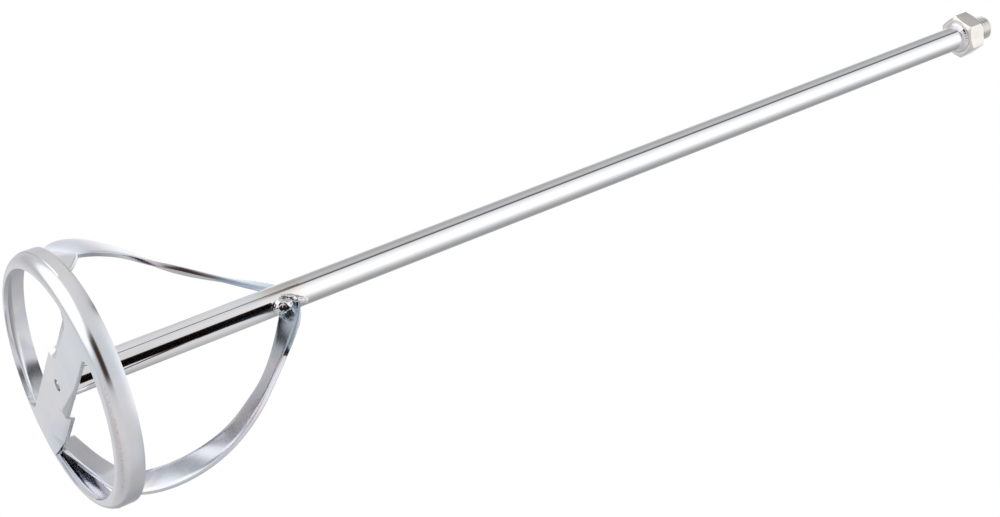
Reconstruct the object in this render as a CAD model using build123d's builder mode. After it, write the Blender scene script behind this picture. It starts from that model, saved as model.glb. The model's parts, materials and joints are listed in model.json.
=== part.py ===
"""Mortar mixing paddle: a pressed ring with a cross bar, two twisted blades, a round shaft and a
threaded drive end with a welded nut.

Millimetres. +Z runs up the shaft to the thread. The origin is the centre of the ring's lower face,
and +X runs along the cross bar. Blade B starts near -X. Blade A and its welds are laid out in the
same place, and are then turned half a turn about the shaft.
"""
import os
from math import cos, radians, sin, sqrt, tan

from build123d import *

os.makedirs("parts", exist_ok=True)

# ---- driving dimensions -------------------------------------------------------------------------
overall_length = 590.0

sheet = 2.0
ring_radius = 60.0
ring_height = 11.5
ring_corner = 6.0            # outer radius between the ring's floor and its wall
bar_half_width = 11.6
bar_corner_radius = 6.0      # where the bar's flat edge runs into the ring; the raised edge has none
bar_hole_radius = 2.8
wing_fold = 5.0              # from the bar's middle line to the fold of its raised edge
wing_rise = 3.1              # how far the folded edge stands above the bar
wing_start = 12.0            # along the bar: the edge begins to rise,
wing_full = 15.5             # has risen,
wing_fall = 41.0             # and begins to come down to the ring

shaft_radius = 7.0
thread_radius = 6.9          # over the crests
thread_chamfer = 1.2
undercut_radius = 5.8        # groove inside the nut, where the thread runs out into the shaft
undercut_length = 2.5
stud_length = 12.0           # thread standing beyond the nut
nut_height = 11.0
nut_across_flats = 22.0
nut_face_radius = 10.4       # flat disc that the nut's corner chamfers leave
nut_chamfer_angle = 30.0
nut_turn = 10.0              # azimuth of one of its corners
centre_drill_radius = 2.0
centre_drill_depth = 2.5

blade_width = 12.0
blade_thickness = 2.5
# Middle line of a blade: azimuth, radius, height and twist. A twist of 0 is a bar on edge against
# the ring's wall, and the twist leans its upper edge inwards. Both blades share the climb, and the
# feet differ: foot B reaches further round the ring and leans outwards onto its wall.
climb = [
    (127, 54, 17.5, 15),
    (115, 54, 20, 33),
    (104, 55.5, 27, 49),
    (92, 57, 40, 64),
    (80, 55.5, 57, 82),
    (69, 48.5, 74, 106),
    (63, 36, 90, 128),
    (60, 8.5, 114, 157),
    (60, 0.5, 120, 162),
]
foot_a = [(148, 56.5, 8, 0), (142, 56, 13, 1), (135, 55, 16.5, 6)]
foot_b = [(174, 55, 8, -30), (158, 55.5, 12.5, -21), (146, 55.5, 15.5, -9), (136, 54.5, 16.5, 3)]

hub_weld_leg = 3.5
nut_weld_leg = 3.2
# Weld lumps: azimuth, radius and height of the middle, then half width and half height.
root_weld = (42, 9.0, 108.5, 4.6, 6.4)
cap_weld = (45, 8.2, 119.0, 3.4, 3.9)
foot_weld_a = (150.5, 55.2, 3.6, 2.4, 2.0)
foot_weld_b = (169.5, 53.4, 3.4, 2.5, 2.0)
weld_rounding = 0.75         # rounding of a lump's ends, in half widths

# ---- derived ------------------------------------------------------------------------------------
opening_radius = ring_radius - ring_corner
wall_inner = ring_radius - sheet
inner_corner = ring_corner - sheet
wing_end = sqrt(opening_radius**2 - bar_half_width**2)
nut_top = overall_length - stud_length
nut_bottom = nut_top - nut_height
nut_corner_radius = nut_across_flats / 2 / cos(radians(30))
nut_chamfer_depth = (nut_corner_radius - nut_face_radius) * tan(radians(nut_chamfer_angle))
half_turn = 180
standing = (Align.CENTER, Align.CENTER, Align.MIN)


def finish(part, name):
    """Name a finished piece and write it as one STEP file."""
    part.label = name
    export_step(part, f"parts/{name}.step")


def around(azimuth, radius, height=0.0):
    """The point at an azimuth in degrees, a radius and a height."""
    return Vector(radius * cos(radians(azimuth)), radius * sin(radians(azimuth)), height)


def lump(azimuth, radius, height, half_width, half_height):
    """A weld lump: an upright round with its ends rounded over."""
    with BuildPart() as body:
        with Locations(around(azimuth, radius, height)):
            Cylinder(half_width, 2 * half_height)
        fillet(body.edges().filter_by(GeomType.CIRCLE), weld_rounding * half_width)
    return body.part


# ---- base: ring and cross bar pressed from one sheet ---------------------------------------------
# At each end of the bar one side rises: on the side of -Y towards +X, and on +Y towards -X.
with BuildPart() as wing:
    for x, rise in ((wing_start, 0), (wing_full, wing_rise), (wing_fall, wing_rise), (wing_end, 0)):
        with BuildSketch(Plane.YZ.offset(x)):
            with BuildLine():
                Polyline(
                    (-wing_fold, 0),
                    (-bar_half_width, rise),
                    (-bar_half_width, rise + sheet),
                    (-wing_fold, sheet),
                    close=True,
                )
            make_face()
    loft(ruled=True)

# What the press cuts out on each side of the bar, and the strip that each wing takes up.
with BuildSketch() as opening:
    Circle(opening_radius)
    with Locations((0, bar_half_width)):
        cut = 2 * ring_radius
        Rectangle(cut, cut, align=(Align.CENTER, Align.MAX), mode=Mode.SUBTRACT)
    fillet(opening.vertices().sort_by(Axis.X)[-1], bar_corner_radius)
with BuildSketch() as wing_strip:
    with Locations((wing_start, -bar_half_width)):
        Rectangle(wing_end - wing_start, bar_half_width - wing_fold, align=Align.MIN)

with BuildPart() as base_stamping:
    with BuildSketch(Plane.XZ):
        with BuildLine():
            Line((opening_radius, sheet), (opening_radius, 0))
            RadiusArc((opening_radius, 0), (ring_radius, ring_corner), -ring_corner)
            Line((ring_radius, ring_corner), (ring_radius, ring_height))
            Line((ring_radius, ring_height), (wall_inner, ring_height))
            Line((wall_inner, ring_height), (wall_inner, ring_corner))
            RadiusArc((wall_inner, ring_corner), (opening_radius, sheet), inner_corner)
        make_face()
    revolve(axis=Axis.Z)
    with BuildSketch():
        Circle(opening_radius)
        Circle(bar_hole_radius, mode=Mode.SUBTRACT)
        for turn in (0, half_turn):
            add(opening.sketch.rotate(Axis.Z, turn), mode=Mode.SUBTRACT)
            add(wing_strip.sketch.rotate(Axis.Z, turn), mode=Mode.SUBTRACT)
    extrude(amount=sheet)
    for turn in (0, half_turn):
        add(wing.part.rotate(Axis.Z, turn))
finish(base_stamping.part, "base_stamping")

# ---- shaft: a round bar standing on the cross bar, threaded at its top -----------------------------
with BuildPart() as shaft_rod:
    with Locations((0, 0, sheet)):
        Cylinder(shaft_radius, nut_top - undercut_length - sheet, align=standing)
        Cone(centre_drill_radius, 0, centre_drill_depth, align=standing, mode=Mode.SUBTRACT)
    with Locations((0, 0, nut_top - undercut_length)):
        Cylinder(undercut_radius, undercut_length, align=standing)
    with Locations((0, 0, nut_top)):
        Cylinder(thread_radius, stud_length, align=standing)
    chamfer(shaft_rod.edges().group_by(Axis.Z)[-1], thread_chamfer)
finish(shaft_rod.part, "shaft_rod")

# ---- drive end: hexagon nut on the thread, welded to the shaft --------------------------------------
with BuildPart() as hex_nut:
    with BuildSketch(Plane.XY.offset(nut_bottom)):
        RegularPolygon(nut_corner_radius, 6, rotation=nut_turn)
        Circle(shaft_radius, mode=Mode.SUBTRACT)
    extrude(amount=nut_height)
    with BuildSketch(Plane.XZ):
        with BuildLine():
            Polyline(
                (0, nut_bottom),
                (nut_face_radius, nut_bottom),
                (nut_corner_radius, nut_bottom + nut_chamfer_depth),
                (nut_corner_radius, nut_top - nut_chamfer_depth),
                (nut_face_radius, nut_top),
                (0, nut_top),
                close=True,
            )
        make_face()
    revolve(axis=Axis.Z, mode=Mode.INTERSECT)
finish(hex_nut.part, "hex_nut")


def weld_ring(corner_height, leg):
    """A round fillet weld on the shaft: its right angle at a height, a positive leg rising from it."""
    with BuildPart() as body:
        with BuildSketch(Plane.XZ):
            with BuildLine():
                Polyline(
                    (shaft_radius, corner_height),
                    (shaft_radius + abs(leg), corner_height),
                    (shaft_radius, corner_height + leg),
                    close=True,
                )
            make_face()
        revolve(axis=Axis.Z)
    return body.part


finish(weld_ring(nut_bottom, -nut_weld_leg), "nut_weld")
finish(weld_ring(sheet, hub_weld_leg), "hub_weld")

# ---- blades: flat bar rising along the ring's wall, twisting and closing onto the shaft -------------
def flat_bar(stations):
    """A flat bar through the stations, cut away where the shaft and the ring are."""
    with BuildLine() as middle_line:
        Spline(*[around(azimuth, radius, height) for azimuth, radius, height, twist in stations])
    with BuildPart() as bar:
        for azimuth, radius, height, twist in stations:
            middle = around(azimuth, radius, height)
            along = middle_line.edge().tangent_at(middle)
            on_edge = (Vector(0, 0, 1) - along * along.Z).normalized()
            width_way = on_edge.rotate(Axis((0, 0, 0), along), twist)
            with BuildSketch(Plane(middle, x_dir=width_way, z_dir=along)):
                Rectangle(blade_width, blade_thickness)
        loft()
        add(shaft_rod.part, mode=Mode.SUBTRACT)
        add(base_stamping.part, mode=Mode.SUBTRACT)
    return bar.part


def weld_on(shape, bar):
    """A weld lump fitted round the shaft, the ring and a blade, without the sliver beyond the blade."""
    with BuildPart() as weld:
        add(lump(*shape))
        for solid in (shaft_rod.part, base_stamping.part, bar):
            add(solid, mode=Mode.SUBTRACT)
    return weld.solids().sort_by(SortBy.VOLUME)[-1]


for side, foot, foot_weld, turn in (("a", foot_a, foot_weld_a, half_turn), ("b", foot_b, foot_weld_b, 0)):
    bar = flat_bar(foot + climb)
    finish(bar.rotate(Axis.Z, turn), "blade_" + side)
    for name, shape in (("root_weld_", root_weld), ("cap_weld_", cap_weld), ("foot_weld_", foot_weld)):
        finish(weld_on(shape, bar).rotate(Axis.Z, turn), name + side)
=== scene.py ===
import json
import math

import bmesh
import bpy
import numpy as np
from mathutils import Matrix, Vector, noise


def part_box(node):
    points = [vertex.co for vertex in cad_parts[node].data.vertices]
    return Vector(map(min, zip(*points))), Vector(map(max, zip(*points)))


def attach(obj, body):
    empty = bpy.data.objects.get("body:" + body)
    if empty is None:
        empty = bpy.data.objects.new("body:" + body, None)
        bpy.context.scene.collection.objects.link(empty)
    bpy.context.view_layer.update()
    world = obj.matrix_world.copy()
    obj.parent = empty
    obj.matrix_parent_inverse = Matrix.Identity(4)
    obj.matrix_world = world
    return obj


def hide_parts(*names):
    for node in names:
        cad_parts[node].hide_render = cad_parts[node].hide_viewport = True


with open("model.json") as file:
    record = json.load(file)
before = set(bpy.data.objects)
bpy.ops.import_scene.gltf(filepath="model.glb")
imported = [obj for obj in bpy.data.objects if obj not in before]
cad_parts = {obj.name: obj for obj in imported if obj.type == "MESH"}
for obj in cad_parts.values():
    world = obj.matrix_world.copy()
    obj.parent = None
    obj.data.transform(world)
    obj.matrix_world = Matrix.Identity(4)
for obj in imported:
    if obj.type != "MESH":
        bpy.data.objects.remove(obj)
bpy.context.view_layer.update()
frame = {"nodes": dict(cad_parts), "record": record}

scene = bpy.context.scene
MM = 0.001

# ---- facts of the object, from the CAD model and the record --------------------------------------
mounts = {m["name"]: m for m in frame["record"]["mounts"]}
thread_radius = mounts["drive_thread"]["dims"]["r_mm"] * MM
shaft_bar_radius = 7.0 * MM
rod_low, rod_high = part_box("shaft_rod")
nut_low, nut_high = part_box("hex_nut")
ring_low, ring_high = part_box("base_stamping")
sheet = 2.0 * MM
thread_pitch = 2.0 * MM
blade_width = 12.0 * MM
blade_thickness = 2.5 * MM
# Middle line of a blade: azimuth, radius, height and twist, as in the CAD model. The two feet differ.
climb = [
    (127, 54, 17.5, 15),
    (115, 54, 20, 33),
    (104, 55.5, 27, 49),
    (92, 57, 40, 64),
    (80, 55.5, 57, 82),
    (69, 48.5, 74, 106),
    (63, 36, 90, 128),
    (60, 8.5, 114, 157),
    (60, 0.5, 120, 162),
]
foot_a = [(148, 56.5, 8, 0), (142, 56, 13, 1), (135, 55, 16.5, 6)]
foot_b = [(174, 55, 8, -30), (158, 55.5, 12.5, -21), (146, 55.5, 15.5, -9), (136, 54.5, 16.5, 3)]


def around(azimuth, radius, height):
    a = math.radians(azimuth)
    return Vector((radius * math.cos(a), radius * math.sin(a), height)) * MM


# ---- materials -----------------------------------------------------------------------------------
def node(tree, kind, **values):
    made = tree.nodes.new(kind)
    for key, value in values.items():
        if key in made.inputs:
            made.inputs[key].default_value = value
        else:
            setattr(made, key, value)
    return made


def ramp(tree, factor, stops):
    made = tree.nodes.new("ShaderNodeValToRGB")
    elements = made.color_ramp.elements
    while len(elements) < len(stops):
        elements.new(0.5)
    for element, (place, colour) in zip(elements, stops):
        element.position = place
        element.color = (*colour, 1)
    tree.links.new(factor, made.inputs[0])
    return made.outputs[0]


def mixed(tree, factor, under, over, blend_type="MIX"):
    """under mixed with over by a factor; each may be a socket or a plain value."""
    made = node(tree, "ShaderNodeMix", data_type="RGBA", blend_type=blend_type)
    for value, socket in ((factor, made.inputs[0]), (under, made.inputs[6]), (over, made.inputs[7])):
        if isinstance(value, tuple):
            socket.default_value = (*value, 1)
        elif isinstance(value, float):
            socket.default_value = value
        else:
            tree.links.new(value, socket)
    return made.outputs[2]


def window(tree, value, low_out, low_in, high_in, high_out):
    """1 between low_in and high_in, falling smoothly to 0 at low_out and high_out."""
    rise = node(tree, "ShaderNodeMapRange", interpolation_type="SMOOTHSTEP")
    fall = node(tree, "ShaderNodeMapRange", interpolation_type="SMOOTHSTEP")
    for made, start, end in ((rise, low_out, low_in), (fall, high_out, high_in)):
        made.inputs["From Min"].default_value = start
        made.inputs["From Max"].default_value = end
        tree.links.new(value, made.inputs[0])
    return times(tree, rise.outputs[0], fall.outputs[0])


def times(tree, first, second):
    made = node(tree, "ShaderNodeMath", operation="MULTIPLY")
    for value, socket in ((first, made.inputs[0]), (second, made.inputs[1])):
        if isinstance(value, float):
            socket.default_value = value
        else:
            tree.links.new(value, socket)
    return made.outputs[0]


def azimuth_of(tree, split):
    """Azimuth about +Z of a point or direction, in radians."""
    made = node(tree, "ShaderNodeMath", operation="ARCTAN2")
    tree.links.new(split.outputs[1], made.inputs[0])
    tree.links.new(split.outputs[0], made.inputs[1])
    return made.outputs[0]


def plated(name, colours, tint_amount, roughness, rough_spread, mottle_scale, grain_scale, bump,
           stretch=(1, 1, 1), marks=()):
    """Zinc-plated steel: a mottled base colour, patches of interference tint, drawn grain and fine pits.

    marks are functions that take the tree, the split position, a noise value and the colour so far,
    and give the colour with a heat tint or a rust line laid over it."""
    material = bpy.data.materials.new(name)
    material.use_nodes = True
    tree = material.node_tree
    links = tree.links
    tree.nodes.clear()
    out = node(tree, "ShaderNodeOutputMaterial")
    shader = node(tree, "ShaderNodeBsdfPrincipled", Metallic=1.0)
    links.new(shader.outputs[0], out.inputs[0])
    place = node(tree, "ShaderNodeTexCoord")
    split = node(tree, "ShaderNodeSeparateXYZ")
    links.new(place.outputs["Object"], split.inputs[0])
    mottle = node(tree, "ShaderNodeTexNoise", Scale=mottle_scale, Detail=4.0, Roughness=0.55)
    links.new(place.outputs["Object"], mottle.inputs["Vector"])
    patches = node(tree, "ShaderNodeTexNoise", Scale=mottle_scale * 0.4, Detail=1.5, Roughness=0.5, Distortion=0.6)
    links.new(place.outputs["Object"], patches.inputs["Vector"])
    plain = ramp(tree, mottle.outputs[0], list(zip((0.3, 0.7), colours)))
    colour = mixed(tree, tint_amount, plain, ramp(tree, patches.outputs[0], zinc_tint), "MULTIPLY")
    grain_place = node(tree, "ShaderNodeMapping", Scale=stretch)
    links.new(place.outputs["Object"], grain_place.inputs["Vector"])
    grain = node(tree, "ShaderNodeTexNoise", Scale=grain_scale, Detail=4.0, Roughness=0.6)
    links.new(grain_place.outputs[0], grain.inputs["Vector"])
    for mark in marks:
        colour = mark(tree, split, grain.outputs[0], colour)
    links.new(colour, shader.inputs["Base Color"])
    spread = node(tree, "ShaderNodeMapRange")
    spread.inputs["From Min"].default_value = 0.3
    spread.inputs["From Max"].default_value = 0.7
    spread.inputs["To Min"].default_value = roughness - rough_spread
    spread.inputs["To Max"].default_value = roughness + rough_spread
    links.new(mottle.outputs[0], spread.inputs[0])
    links.new(spread.outputs[0], shader.inputs["Roughness"])
    relief = node(tree, "ShaderNodeBump", Strength=bump, Distance=0.0001)
    links.new(grain.outputs[0], relief.inputs["Height"])
    links.new(relief.outputs[0], shader.inputs["Normal"])
    return material


def heat_tint(low, full, high, gone, colour, amount):
    """Temper colours between two heights, where a weld heated the bar."""
    def mark(tree, split, grain, under):
        band = times(tree, window(tree, split.outputs[2], low * MM, full * MM, high * MM, gone * MM), amount)
        return mixed(tree, band, under, colour, "MULTIPLY")
    return mark


def rust_line(tree, split, grain, under):
    """A thin broken line of rust bleeding through the plating along the ring's lower corner."""
    line = window(tree, split.outputs[2], 1.1 * MM, 1.6 * MM, 1.9 * MM, 2.6 * MM)
    length = node(tree, "ShaderNodeVectorMath", operation="LENGTH")
    flat = node(tree, "ShaderNodeCombineXYZ")
    tree.links.new(split.outputs[0], flat.inputs[0])
    tree.links.new(split.outputs[1], flat.inputs[1])
    tree.links.new(flat.outputs[0], length.inputs[0])
    line = times(tree, line, window(tree, length.outputs["Value"], 56.5 * MM, 57.2 * MM, 1.0, 2.0))
    stretch = [math.radians(a) for a in (18, 36, 78, 96)]
    line = times(tree, line, window(tree, azimuth_of(tree, split), *stretch))
    line = times(tree, line, window(tree, grain, 0.40, 0.66, 1.0, 2.0))
    return mixed(tree, times(tree, line, 0.6), under, (0.74, 0.46, 0.33))


# Interference colours of the zinc, from cool to warm and back, by a noise value.
zinc_tint = [
    (0.30, (0.88, 0.95, 0.98)),
    (0.42, (0.97, 0.97, 1.0)),
    (0.52, (1.0, 0.965, 0.96)),
    (0.62, (0.94, 0.93, 1.0)),
    (0.74, (0.88, 0.96, 0.96)),
]
blue_temper = heat_tint(84, 97, 112, 124, (0.5, 0.62, 0.7), 0.8)
straw_temper = heat_tint(58, 70, 82, 94, (0.86, 0.8, 0.82), 0.9)
brown_temper = heat_tint(100, 108, 116, 126, (0.88, 0.8, 0.7), 0.5)
sheet_metal = plated("pressed_sheet_zinc", [(0.8, 0.825, 0.845), (0.89, 0.9, 0.915)], tint_amount=1.0,
                     roughness=0.17, rough_spread=0.03, mottle_scale=45, grain_scale=900.0, bump=0.06,
                     marks=(rust_line,))
blade_metal = plated("blade_zinc", [(0.8, 0.83, 0.86), (0.91, 0.92, 0.93)], tint_amount=1.0, roughness=0.19,
                     rough_spread=0.04, mottle_scale=55, grain_scale=700.0, bump=0.05,
                     marks=(blue_temper, straw_temper))
shaft_metal = plated("shaft_bright", [(0.9, 0.9, 0.905), (0.94, 0.94, 0.935)], tint_amount=0.25, roughness=0.055,
                     rough_spread=0.015, mottle_scale=40, grain_scale=500.0, bump=0.04, stretch=(1, 1, 0.015),
                     marks=(brown_temper,))
nut_metal = plated("nut_bright", [(0.8, 0.77, 0.72), (0.93, 0.9, 0.85)], tint_amount=0.5, roughness=0.12,
                   rough_spread=0.03, mottle_scale=120, grain_scale=600.0, bump=0.08)
weld_metal = plated("weld_bead", [(0.78, 0.77, 0.76), (0.93, 0.93, 0.92)], tint_amount=0.9, roughness=0.14,
                    rough_spread=0.05, mottle_scale=260, grain_scale=900.0, bump=0.12)


# ---- mesh helpers --------------------------------------------------------------------------------
def piece(name, verts, faces, material, slot, *nodes, smooth=True):
    mesh = bpy.data.meshes.new(name)
    mesh.from_pydata([tuple(v) for v in verts], [], faces)
    mesh.validate()
    for face in mesh.polygons:
        face.use_smooth = smooth
    mesh.materials.append(material)
    made = bpy.data.objects.new(name, mesh)
    scene.collection.objects.link(made)
    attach(made, "root")
    if nodes:
        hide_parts(*nodes)
    return made


def lathe(profile, segments):
    """Verts and faces of a closed profile of (radius, height) turned about +Z; radius 0 makes a pole."""
    verts, faces, rows = [], [], []
    for radius, height in profile:
        if radius < 1e-9:
            rows.append([len(verts)] * segments)
            verts.append((0, 0, height))
        else:
            rows.append(list(range(len(verts), len(verts) + segments)))
            for i in range(segments):
                a = 2 * math.pi * i / segments
                verts.append((radius * math.cos(a), radius * math.sin(a), height))
    for low, high in zip(rows, rows[1:]):
        for i in range(segments):
            j = (i + 1) % segments
            quad = [low[i], low[j], high[j], high[i]]
            faces.append([v for k, v in enumerate(quad) if v != quad[k - 1]])
    return verts, faces


# ---- camera --------------------------------------------------------------------------------------
camera = bpy.data.objects.new("camera", bpy.data.cameras.new("camera"))
scene.collection.objects.link(camera)
# The photograph looks up at the ring from below, with the shaft running away to the upper right.
eye = Vector((0.7673, 0.2923, -0.2286))
right = Vector((0.30268, 0.50136, 0.81057))
up = Vector((0.47957, -0.81507, 0.32507))
back = Vector((0.82365, 0.29033, -0.48714))
camera.matrix_world = Matrix.Translation(eye) @ Matrix((right, up, back)).transposed().to_4x4()
camera.data.sensor_width = 36.0
camera.data.lens = 68.22
camera.data.clip_start = 0.01
scene.camera = camera

# ---- world: a white light tent with the darker gaps that the bright bar reflects -----------------
world = bpy.data.worlds.new("tent")
scene.world = world
world.use_nodes = True
tree = world.node_tree
tree.nodes.clear()
direction = node(tree, "ShaderNodeTexCoord")
split = node(tree, "ShaderNodeSeparateXYZ")
tree.links.new(direction.outputs["Generated"], split.inputs[0])
azimuth = azimuth_of(tree, split)
turn = node(tree, "ShaderNodeMapRange")
turn.inputs["From Min"].default_value = -math.pi
turn.inputs["From Max"].default_value = math.pi
tree.links.new(azimuth, turn.inputs[0])


def by_azimuth(*stops):
    """A band of the tent: grey levels at azimuths in degrees, from -180 to 180."""
    places = [((degrees + 180) / 360, (level, level, level)) for degrees, level in stops]
    return ramp(tree, turn.outputs[0], places)


def sine(degrees):
    return math.sin(math.radians(degrees))


def cosine(degrees):
    return math.cos(math.radians(degrees))


def azimuth_window(low_out, low_in, high_in, high_out):
    """1 between two azimuths in degrees, falling to 0 outside them."""
    return window(tree, azimuth, *(math.radians(a) for a in (low_out, low_in, high_in, high_out)))


height_of = split.outputs[2]
below_all, below_all_in, above_all_in, above_all = -3.0, -2.0, 2.0, 3.0
high_band = by_azimuth(
    (-180, 0.8), (-150, 1.1), (-128, 0.98), (-108, 0.5), (-85, 0.42), (-50, 0.56), (-40, 0.45), (-34, 0.1),
    (-28, 0.1), (-22, 0.78), (0, 0.98), (18, 1.12), (60, 1.1), (78, 0.8), (100, 0.5), (130, 0.34), (160, 0.36),
    (180, 0.6))
mid_band = by_azimuth(
    (-180, 0.5), (-150, 1.0), (-125, 0.74), (-100, 0.66), (-66, 0.74), (-52, 0.7), (-30, 0.72),
    (-3, 0.78), (30, 0.72), (80, 0.74), (105, 0.68), (122, 0.56), (145, 0.5), (165, 0.44), (180, 0.5))
wall_band = by_azimuth(
    (-180, 0.42), (-150, 0.66), (-125, 0.64), (-60, 0.74), (0, 0.7), (60, 0.72), (100, 0.68), (125, 0.54),
    (145, 0.46), (165, 0.38), (180, 0.4))
low_band = by_azimuth(
    (-180, 0.72), (-150, 0.76), (-125, 0.54), (-100, 0.68), (-20, 0.72), (50, 0.66), (75, 0.74), (110, 0.66),
    (145, 0.55), (180, 0.64))
above_mid = window(tree, height_of, sine(21.5), sine(23.0), above_all_in, above_all)
below_mid = window(tree, height_of, below_all, below_all_in, sine(18.3), sine(19.3))
below_horizon = window(tree, height_of, below_all, below_all_in, sine(-6), sine(4))
tent = mixed(tree, above_mid, mid_band, high_band)
tent = mixed(tree, below_mid, tent, wall_band)
tent = mixed(tree, below_horizon, tent, low_band)

# The large soft box below the object's side, and the gap that the camera stands in.
box_azimuth, box_elevation, box_inner, box_outer = -62, -40, 36, 46
toward = node(tree, "ShaderNodeVectorMath", operation="DOT_PRODUCT")
toward.inputs[1].default_value = tuple(around(box_azimuth, cosine(box_elevation), sine(box_elevation)) / MM)
tree.links.new(direction.outputs["Generated"], toward.inputs[0])
soft_box = window(tree, toward.outputs["Value"], cosine(box_outer), cosine(box_inner), above_all_in, above_all)
tent = mixed(tree, soft_box, tent, (1.22, 1.21, 1.17))
gap_heights = window(tree, height_of, sine(-56), sine(-34), sine(-9), sine(3))
gap = times(tree, azimuth_window(-17, -2, 27, 46), gap_heights)
tent = mixed(tree, gap, tent, (0.05, 0.025, 0.015))
tent = mixed(tree, 1.0, tent, (0.995, 1.0, 1.02), "MULTIPLY")
path = node(tree, "ShaderNodeLightPath")
seen = node(tree, "ShaderNodeMix", data_type="RGBA")
tree.links.new(path.outputs["Is Camera Ray"], seen.inputs[0])
tree.links.new(tent, seen.inputs[6])
seen.inputs[7].default_value = (1, 1, 1, 1)
glow = node(tree, "ShaderNodeBackground")
tree.links.new(seen.outputs[2], glow.inputs[0])
world_out = node(tree, "ShaderNodeOutputWorld")
tree.links.new(glow.outputs[0], world_out.inputs[0])
scene.view_settings.view_transform = "Standard"

# ---- stage: a floor that is seen from above only, dark flags round the shaft, and a soft light ---
def stage_mesh(name, verts, faces, material):
    mesh = bpy.data.meshes.new(name)
    mesh.from_pydata(verts, [], faces)
    mesh.materials.append(material)
    made = bpy.data.objects.new(name, mesh)
    scene.collection.objects.link(made)
    return made


floor_paint = bpy.data.materials.new("floor_paint")
floor_paint.use_nodes = True
tree = floor_paint.node_tree
tree.nodes.clear()
matt = node(tree, "ShaderNodeBsdfDiffuse", Color=(0.86, 0.86, 0.86, 1))
clear = node(tree, "ShaderNodeBsdfTransparent")
side = node(tree, "ShaderNodeNewGeometry")
choose = node(tree, "ShaderNodeMixShader")
tree.links.new(side.outputs["Backfacing"], choose.inputs[0])
tree.links.new(matt.outputs[0], choose.inputs[1])
tree.links.new(clear.outputs[0], choose.inputs[2])
floor_out = node(tree, "ShaderNodeOutputMaterial")
tree.links.new(choose.outputs[0], floor_out.inputs[0])
reach, drop = 60.0, -0.4 * MM
floor_corners = [(-reach, -reach, drop), (reach, -reach, drop), (reach, reach, drop), (-reach, reach, drop)]
floor = stage_mesh("floor", floor_corners, [(0, 1, 2, 3)], floor_paint)
floor.visible_diffuse = floor.visible_glossy = False
floor.visible_shadow = floor.visible_transmission = False

# Each flag is a strip of a cylinder round the shaft, seen only by reflections from the shaft's side.
flag_foot, flag_columns = 12.0 * MM, 12
flags = (
    ("flag_brown", (0.1, 0.05, 0.035), 20, 69, 41.0 * MM, 118.5 * MM),
    ("flag_black", (0.002, 0.002, 0.002), 25, 65, 40.0 * MM, 118.5 * MM),
    ("flag_line", (0.05, 0.025, 0.02), -38.6, -33.6, 40.0 * MM, 136.0 * MM),
)
for name, tone, first_azimuth, last_azimuth, distance, flag_top in flags:
    paint = bpy.data.materials.new(name)
    paint.use_nodes = True
    tree = paint.node_tree
    tree.nodes.clear()
    shade = node(tree, "ShaderNodeEmission", Color=(*tone, 1), Strength=1.0)
    through = node(tree, "ShaderNodeBsdfTransparent")
    facing = node(tree, "ShaderNodeNewGeometry")
    one_sided = node(tree, "ShaderNodeMixShader")
    tree.links.new(facing.outputs["Backfacing"], one_sided.inputs[0])
    tree.links.new(through.outputs[0], one_sided.inputs[1])
    tree.links.new(shade.outputs[0], one_sided.inputs[2])
    shade_out = node(tree, "ShaderNodeOutputMaterial")
    tree.links.new(one_sided.outputs[0], shade_out.inputs[0])
    angles = [math.radians(a) for a in np.linspace(first_azimuth, last_azimuth, flag_columns)]
    rim = [(distance * math.cos(a), distance * math.sin(a)) for a in angles]
    flag_verts = [(x, y, z) for z in (flag_foot, flag_top) for x, y in rim]
    flag_faces = [(i, i + 1, i + 1 + flag_columns, i + flag_columns) for i in range(flag_columns - 1)]
    flag = stage_mesh(name, flag_verts, flag_faces, paint)
    flag.visible_camera = flag.visible_diffuse = flag.visible_shadow = False

lamp = bpy.data.objects.new("soft_light", bpy.data.lights.new("soft_light", "AREA"))
scene.collection.objects.link(lamp)
lamp.data.shape = "DISK"
lamp.data.size = 1.4
lamp.data.energy = 12.0
lamp.location = (-0.5, -0.7, 1.6)
lamp.rotation_euler = (Vector((0, 0, 0.2)) - lamp.location).to_track_quat("-Z", "Y").to_euler()
lamp.visible_glossy = False


# ---- shaft: bright round bar, rolled thread ------------------------------------------------------
edge = 0.35 * MM
centre_drill_depth, centre_drill_radius = 2.5 * MM, 2.0 * MM
thread_start = nut_high.z - 0.6 * MM
rod = [
    (0, rod_low.z + centre_drill_depth),
    (centre_drill_radius, rod_low.z),
    (shaft_bar_radius - edge, rod_low.z),
    (shaft_bar_radius - 0.3 * edge, rod_low.z + 0.3 * edge),
    (shaft_bar_radius, rod_low.z + edge),
]
steps = 60
rod_side = thread_start - rod_low.z - edge
rod += [(shaft_bar_radius, rod_low.z + edge + rod_side * i / steps) for i in range(1, steps + 1)]
rod += [(0, thread_start)]
verts, faces = lathe(rod, 160)
piece("shaft", verts, faces, shaft_metal, "shaft_bar", "shaft_rod")


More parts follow.
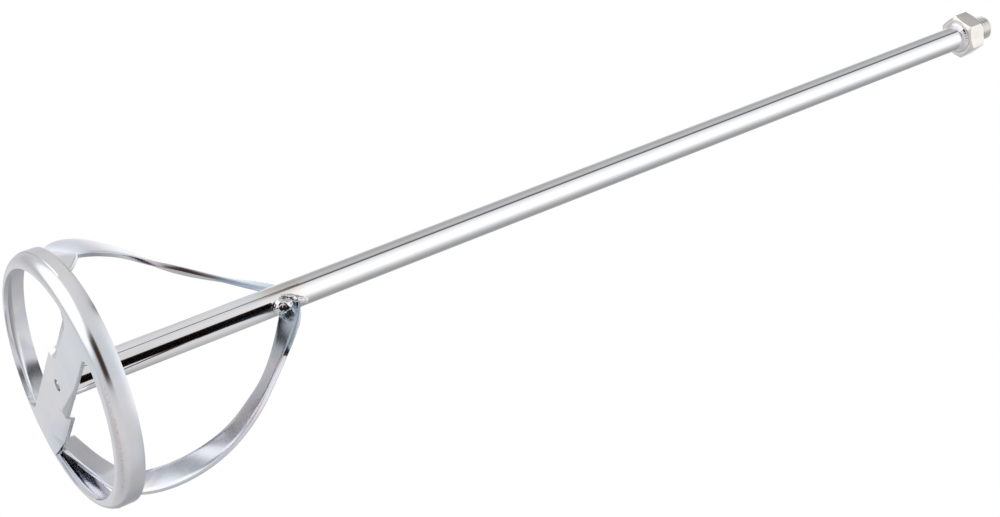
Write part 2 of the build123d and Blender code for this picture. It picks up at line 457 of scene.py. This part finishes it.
def thread_mesh():
    """A rolled thread as a grid of points, with rounded crests and a chamfered end."""
    crest, root = thread_radius, thread_radius - 1.15 * MM
    chamfer, chamfer_slope = 1.2 * MM, 1.1
    crest_half, flank_slope = 0.18, 1.75
    columns, row = 96, 0.08 * MM
    top = rod_high.z
    rows = int(round((top - thread_start) / row))
    verts = []
    for k in range(rows + 1):
        z = thread_start + (top - thread_start) * k / rows
        for i in range(columns):
            phase = (z / thread_pitch - i / columns) % 1.0
            rise = min(1.0, max(0.0, flank_slope * (abs(2 * phase - 1) - crest_half)))
            r = root + (crest - root) * rise * rise * (3 - 2 * rise)
            r = min(r, crest - chamfer + chamfer_slope * (top - z))
            a = 2 * math.pi * i / columns
            verts.append((r * math.cos(a), r * math.sin(a), z))
    faces = []
    for k in range(rows):
        for i in range(columns):
            j = (i + 1) % columns
            faces.append((k * columns + i, k * columns + j, (k + 1) * columns + j, (k + 1) * columns + i))
    faces.append(tuple(range(rows * columns, (rows + 1) * columns)))
    faces.append(tuple(range(columns - 1, -1, -1)))
    return verts, faces


verts, faces = thread_mesh()
piece("thread", verts, faces, nut_metal, "shaft_bar")


# ---- softened copies of CAD nodes: the same shape with its sharp edges rounded -------------------
def softened(name, node_name, material, width, segments=3):
    source = frame["nodes"][node_name].data
    mesh = bmesh.new()
    mesh.from_mesh(source)
    bmesh.ops.remove_doubles(mesh, verts=mesh.verts, dist=2e-6)
    bmesh.ops.dissolve_limit(mesh, angle_limit=math.radians(0.4), verts=mesh.verts, edges=mesh.edges)
    sharp = [e for e in mesh.edges if len(e.link_faces) == 2 and e.calc_face_angle(0) > math.radians(28)]
    bmesh.ops.bevel(mesh, geom=sharp, offset=width, segments=segments, profile=0.6, affect="EDGES",
                    clamp_overlap=True)
    for face in mesh.faces:
        face.smooth = True
    for e in mesh.edges:
        e.smooth = len(e.link_faces) == 2 and e.calc_face_angle(0) < math.radians(32)
    data = bpy.data.meshes.new(name)
    mesh.to_mesh(data)
    mesh.free()
    data.materials.append(material)
    made = bpy.data.objects.new(name, data)
    scene.collection.objects.link(made)
    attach(made, "root")
    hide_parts(node_name)


softened("ring_and_bar", "base_stamping", sheet_metal, 0.25 * MM)
softened("nut", "hex_nut", nut_metal, 0.3 * MM)


# ---- blades: flat bar with rounded edges swept along the stations --------------------------------
def smooth_through(points, count):
    """A natural cubic spline through points of any dimension, sampled evenly in its chord parameter."""
    p = np.array(points, float)
    t = np.concatenate([[0], np.cumsum(np.linalg.norm(np.diff(p[:, :3], axis=0), axis=1))])
    n = len(p)
    h = np.diff(t)
    system = np.eye(n)
    right_side = np.zeros_like(p)
    for i in range(1, n - 1):
        system[i, i - 1:i + 2] = h[i - 1], 2 * (h[i - 1] + h[i]), h[i]
        right_side[i] = 6 * ((p[i + 1] - p[i]) / h[i] - (p[i] - p[i - 1]) / h[i - 1])
    curve = np.linalg.solve(system, right_side)
    out = []
    for s in np.linspace(0, t[-1], count):
        i = min(max(np.searchsorted(t, s) - 1, 0), n - 2)
        a, b = (t[i + 1] - s) / h[i], (s - t[i]) / h[i]
        out.append(a * p[i] + b * p[i + 1] + ((a**3 - a) * curve[i] + (b**3 - b) * curve[i + 1]) * h[i] ** 2 / 6)
    return np.array(out)


def bar_section(width, thickness, corner, arc=4):
    """Points round a flat bar's section: rolled faces, and slightly crowned sheared edges."""
    points = []
    for sx, sy, start in ((1, 1, 0), (-1, 1, 90), (-1, -1, 180), (1, -1, 270)):
        for k in range(arc + 1):
            a = math.radians(start + 90 * k / arc)
            x = sx * (width / 2 - corner) + corner * math.cos(a)
            y = sy * (thickness / 2 - corner) + corner * math.sin(a)
            points.append((x, y))
        if sx * sy < 0:
            continue
        across = np.linspace(width / 2 - corner, -width / 2 + corner, 7)[1:-1]
        points += [(sx * x, sy * thickness / 2) for x in across]
    return points


def blade(name, node_name, stations, turn):
    """Sweep the bar's section; its upper edge is burnt narrower where the weld at the shaft took it."""
    count, burnt_from, burnt_over, burnt_most = 220, 21 * MM, 15 * MM, 0.5
    samples = smooth_through([(*around(a, r, z), math.radians(twist)) for a, r, z, twist in stations], count)
    centres = [Vector(row[:3]) for row in samples]
    section = bar_section(blade_width, blade_thickness, 0.45 * MM)
    verts = []
    for i, centre in enumerate(centres):
        along = (centres[min(i + 1, count - 1)] - centres[max(i - 1, 0)]).normalized()
        on_edge = (Vector((0, 0, 1)) - along * along.z).normalized()
        wide = Matrix.Rotation(samples[i][3], 3, along) @ on_edge
        thick = along.cross(wide)
        burnt = min(1.0, max(0.0, (burnt_from - math.hypot(centre.x, centre.y)) / burnt_over)) ** 1.5
        for u, v in section:
            keep = 1 - burnt_most * burnt if u < 0 else 1.0
            verts.append(centre + wide * u * keep + thick * v)
    n = len(section)
    faces = []
    for i in range(count - 1):
        for j in range(n):
            k = (j + 1) % n
            faces.append((i * n + j, i * n + k, (i + 1) * n + k, (i + 1) * n + j))
    faces.append(tuple(range(n - 1, -1, -1)))
    faces.append(tuple(range((count - 1) * n, count * n)))
    half = Matrix.Rotation(math.radians(turn), 3, "Z")
    made = piece(name, [half @ v for v in verts], faces, blade_metal, "blade_bar", node_name)
    for end in made.data.polygons[-2:]:
        end.use_smooth = False


blade("blade_one", "blade_a", foot_a + climb, 180)
blade("blade_two", "blade_b", foot_b + climb, 0)


# ---- welds ---------------------------------------------------------------------------------------
def weld_lump(name, node_name, centre, size, lean, lumps, ripples, seed):
    """A frozen weld pool: an ellipsoid with slumped lumps and fine solidification ripples."""
    mesh = bmesh.new()
    bmesh.ops.create_icosphere(mesh, subdivisions=5, radius=1.0)
    turned = Matrix.Rotation(lean[1], 3, "Z") @ Matrix.Rotation(lean[0], 3, "Y")
    for v in mesh.verts:
        d = v.co.copy()
        slump = noise.noise(d * 1.6 + Vector((seed, 0, 0)))
        drip = noise.noise(d * 4.2 + Vector((0, seed, 0)))
        swell = 1 + lumps * slump + 0.4 * lumps * drip
        swell += ripples * math.sin(d.z * 17 + 2.2 * noise.noise(d * 2 + Vector((0, 0, seed))))
        v.co = centre + turned @ Vector((d.x * size[0], d.y * size[1], d.z * size[2])) * swell
    for face in mesh.faces:
        face.smooth = True
    data = bpy.data.meshes.new(name)
    mesh.to_mesh(data)
    mesh.free()
    data.materials.append(weld_metal)
    made = bpy.data.objects.new(name, data)
    scene.collection.objects.link(made)
    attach(made, "root")
    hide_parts(node_name)


def opposite(point, turn):
    return Matrix.Rotation(math.radians(turn), 3, "Z") @ point


root_size = (3.7 * MM, 4.0 * MM, 4.7 * MM)
for side, turn in (("a", 180), ("b", 0)):
    root_lean = (0.25, math.radians(turn) + 0.75)
    root_middle = opposite(around(47, 8.3, 109.4), turn)
    weld_lump("root_lump_" + side, "root_weld_" + side, root_middle, root_size, root_lean, 0.15, 0.008, 3.0)
    start, end = opposite(around(19, 7.8, 111.6), turn), opposite(around(57, 8.2, 121.4), turn)
    run = end - start
    cap_size = (2.0 * MM, 2.4 * MM, 0.5 * run.length + 1.5 * MM)
    cap_lean = (run.angle(Vector((0, 0, 1))), math.atan2(run.y, run.x))
    weld_lump("cap_bead_" + side, "cap_weld_" + side, (start + end) / 2, cap_size, cap_lean, 0.1, 0.05, 8.0)
nugget_a, nugget_b = around(150.5 - 180, 55.4, 3.6), around(169.8, 53.9, 2.6)
weld_lump("foot_nugget_b", "foot_weld_b", nugget_b, (2.0 * MM, 2.4 * MM, 1.8 * MM), (0, 2.9), 0.12, 0.02, 5.0)
weld_lump("foot_nugget_a", "foot_weld_a", nugget_a, (2.0 * MM, 2.2 * MM, 1.8 * MM), (0, -0.4), 0.12, 0.02, 6.0)


def wall_step(name, turn):
    """Where a blade's foot is welded inside, the ring's wall stands slightly proud, with a square end."""
    first, last, proud, sunk = -24.0, -74.0, 0.4 * MM, 0.05 * MM
    low, high = 4.9 * MM, ring_high.z - 0.2 * MM
    end_round, low_round, high_round = 0.7 * MM, 0.8 * MM, 0.5 * MM
    columns, rows = 90, 14
    verts = []
    for i in range(columns + 1):
        share = i / columns
        a = math.radians(first + (last - first) * share + turn)
        from_end = ring_high.x * math.radians(first - last) * share
        fade = min(1.0, 1.6 * (1 - share))
        for k in range(rows + 1):
            z = low + (high - low) * k / rows
            from_edges = min(1.0, (z - low) / low_round) * min(1.0, (high - z) / high_round)
            inside = min(1.0, from_end / end_round) * from_edges
            r = ring_high.x - sunk + proud * math.sin(inside * math.pi / 2) * fade
            verts.append((r * math.cos(a), r * math.sin(a), z))
    m = rows + 1
    faces = []
    for i in range(columns):
        here, beyond = i * m, (i + 1) * m
        faces += [(here + k, here + k + 1, beyond + k + 1, beyond + k) for k in range(rows)]
    piece(name, verts, faces, sheet_metal, "pressed_sheet")


wall_step("wall_step_a", 0)
wall_step("wall_step_b", 180)


def weld_ring(name, node_name, corner_height, leg, seed):
    """A fillet weld run round the shaft, crowned and rippled, with its leg a little uneven."""
    columns, across, crown = 240, 12, 1.15
    inner = shaft_bar_radius - 0.1 * MM
    verts = []
    for i in range(columns):
        a = 2 * math.pi * i / columns
        wander = noise.noise(Vector((math.cos(a) * 1.6, math.sin(a) * 1.6, seed)))
        here = abs(leg) * (1 + 0.2 * wander - 0.1 + 0.012 * math.sin(a * 38))
        for k in range(across + 1):
            b = math.pi / 2 * k / across
            r = inner + here * math.cos(b) ** crown
            rise = here * math.sin(b) ** crown
            verts.append((r * math.cos(a), r * math.sin(a), corner_height + math.copysign(rise, leg)))
    m = across + 1
    faces, inner_faces = [], []
    for i in range(columns):
        j = (i + 1) % columns
        faces += [(i * m + k, j * m + k, j * m + k + 1, i * m + k + 1) for k in range(across)]
        inner_faces.append((i * m + across, j * m + across, j * m, i * m))
    piece(name, verts, faces + inner_faces, weld_metal, "weld", node_name)


weld_ring("hub_run", "hub_weld", ring_low.z + sheet, 3.4 * MM, 2.0)
weld_ring("nut_run", "nut_weld", nut_low.z, -2.7 * MM, 4.0)
